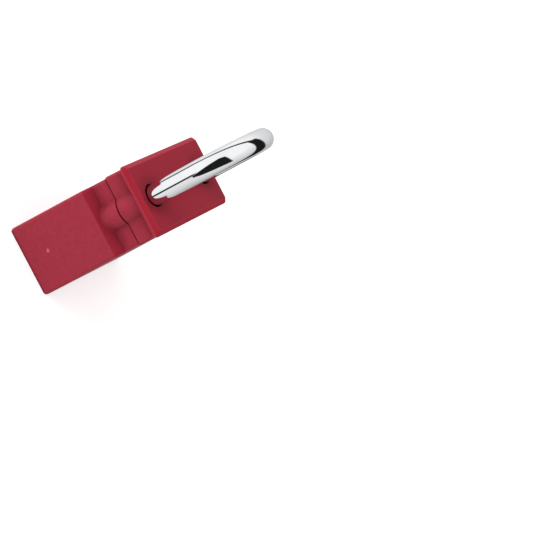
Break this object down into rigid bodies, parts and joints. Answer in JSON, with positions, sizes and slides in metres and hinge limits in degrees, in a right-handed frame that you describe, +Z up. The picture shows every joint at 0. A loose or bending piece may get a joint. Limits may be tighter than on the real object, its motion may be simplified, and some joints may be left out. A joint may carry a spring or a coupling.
{
  "type": "safety padlock",
  "caption": "Slim red plastic safety padlock with a waisted body, a chromed steel shackle and a pin cylinder that drives locking balls.",
  "frame": {"origin": "middle of the bottom face, where the key goes in", "axes": "+Z up along the shackle legs (longest extent), X across the two legs with the toe leg at +X, Y through the thickness (shortest extent)"},
  "size_m": [0.038, 0.021, 0.0759],
  "materials": {
    "red_nylon": "fine satin texture of moulded nylon",
    "chromed_steel": "bright chrome plate",
    "brass": "turned",
    "brass_face": "turned, fine rings on the key face",
    "hard_steel": "ground",
    "spring_steel": "drawn wire and strip",
    "nickel_silver": "turned"
  },
  "bodies": {
    "body": {"lower_housing": "red_nylon", "upper_cap": "red_nylon", "cylinder_shell": "brass", "chamber_cover": "brass", "shackle_retaining_pin": "hard_steel", "shackle_spring": "spring_steel", "pin_spring_1": "spring_steel", "pin_spring_2": "spring_steel", "pin_spring_3": "spring_steel", "pin_spring_4": "spring_steel", "pin_spring_5": "spring_steel", "pin_spring_6": "spring_steel"},
    "plug": {"cylinder_plug": "brass_face", "plug_retaining_clip": "spring_steel", "driver_cam": "hard_steel"},
    "shackle": {"shackle": "chromed_steel"},
    "ball_heel": {"ball_heel": "hard_steel"},
    "ball_toe": {"ball_toe": "hard_steel"},
    "key_pin_1": {"key_pin_1": "nickel_silver"},
    "driver_pin_1": {"driver_pin_1": "brass"},
    "key_pin_2": {"key_pin_2": "nickel_silver"},
    "driver_pin_2": {"driver_pin_2": "brass"},
    "key_pin_3": {"key_pin_3": "nickel_silver"},
    "driver_pin_3": {"driver_pin_3": "brass"},
    "key_pin_4": {"key_pin_4": "nickel_silver"},
    "driver_pin_4": {"driver_pin_4": "brass"},
    "key_pin_5": {"key_pin_5": "nickel_silver"},
    "driver_pin_5": {"driver_pin_5": "brass"},
    "key_pin_6": {"key_pin_6": "nickel_silver"},
    "driver_pin_6": {"driver_pin_6": "brass"}
  },
  "joints": [
    {"name": "shackle_lift", "type": "slide", "parent": "body", "child": "shackle", "axis": [0, 0, 1], "range_m": [0, 0.012], "deforming": ["shackle_spring"]},
    {"name": "plug_turn", "type": "hinge", "parent": "body", "child": "plug", "pos_m": [0, 0, 0], "axis": [0, 0, 1], "range_deg": [0, 90]},
    {"name": "ball_heel_slide", "type": "slide", "parent": "body", "child": "ball_heel", "axis": [-1, 0, 0], "range_m": [0, 0.00105]},
    {"name": "ball_toe_slide", "type": "slide", "parent": "body", "child": "ball_toe", "axis": [1, 0, 0], "range_m": [0, 0.00105]},
    {"name": "driver_pin_1_slide", "type": "slide", "parent": "body", "child": "driver_pin_1", "axis": [1, 0, 0], "range_m": [0, 0.0015], "stiffness_N_per_m": 60, "springref_m": -0.001, "deforming": ["pin_spring_1"]},
    {"name": "key_pin_1_slide", "type": "slide", "parent": "plug", "child": "key_pin_1", "axis": [0, 1, 0], "range_m": [0, 0.00128]},
    {"name": "driver_pin_2_slide", "type": "slide", "parent": "body", "child": "driver_pin_2", "axis": [1, 0, 0], "range_m": [0, 0.0015], "stiffness_N_per_m": 60, "springref_m": -0.001, "deforming": ["pin_spring_2"]},
    {"name": "key_pin_2_slide", "type": "slide", "parent": "plug", "child": "key_pin_2", "axis": [0, 1, 0], "range_m": [0, 0.00198]},
    {"name": "driver_pin_3_slide", "type": "slide", "parent": "body", "child": "driver_pin_3", "axis": [1, 0, 0], "range_m": [0, 0.0015], "stiffness_N_per_m": 60, "springref_m": -0.001, "deforming": ["pin_spring_3"]},
    {"name": "key_pin_3_slide", "type": "slide", "parent": "plug", "child": "key_pin_3", "axis": [0, 1, 0], "range_m": [0, 0.00093]},
    {"name": "driver_pin_4_slide", "type": "slide", "parent": "body", "child": "driver_pin_4", "axis": [1, 0, 0], "range_m": [0, 0.0015], "stiffness_N_per_m": 60, "springref_m": -0.001, "deforming": ["pin_spring_4"]},
    {"name": "key_pin_4_slide", "type": "slide", "parent": "plug", "child": "key_pin_4", "axis": [0, 1, 0], "range_m": [0, 0.00163]},
    {"name": "driver_pin_5_slide", "type": "slide", "parent": "body", "child": "driver_pin_5", "axis": [1, 0, 0], "range_m": [0, 0.0015], "stiffness_N_per_m": 60, "springref_m": -0.001, "deforming": ["pin_spring_5"]},
    {"name": "key_pin_5_slide", "type": "slide", "parent": "plug", "child": "key_pin_5", "axis": [0, 1, 0], "range_m": [0, 0.00058]},
    {"name": "driver_pin_6_slide", "type": "slide", "parent": "body", "child": "driver_pin_6", "axis": [1, 0, 0], "range_m": [0, 0.0015], "stiffness_N_per_m": 60, "springref_m": -0.001, "deforming": ["pin_spring_6"]},
    {"name": "key_pin_6_slide", "type": "slide", "parent": "plug", "child": "key_pin_6", "axis": [0, 1, 0], "range_m": [0, 0.00163]}
  ],
  "couplings": [
    {"joint": "ball_heel_slide", "follows": "plug_turn", "m_per_rad": 0.00066845},
    {"joint": "ball_toe_slide", "follows": "plug_turn", "m_per_rad": 0.00066845}
  ]
}
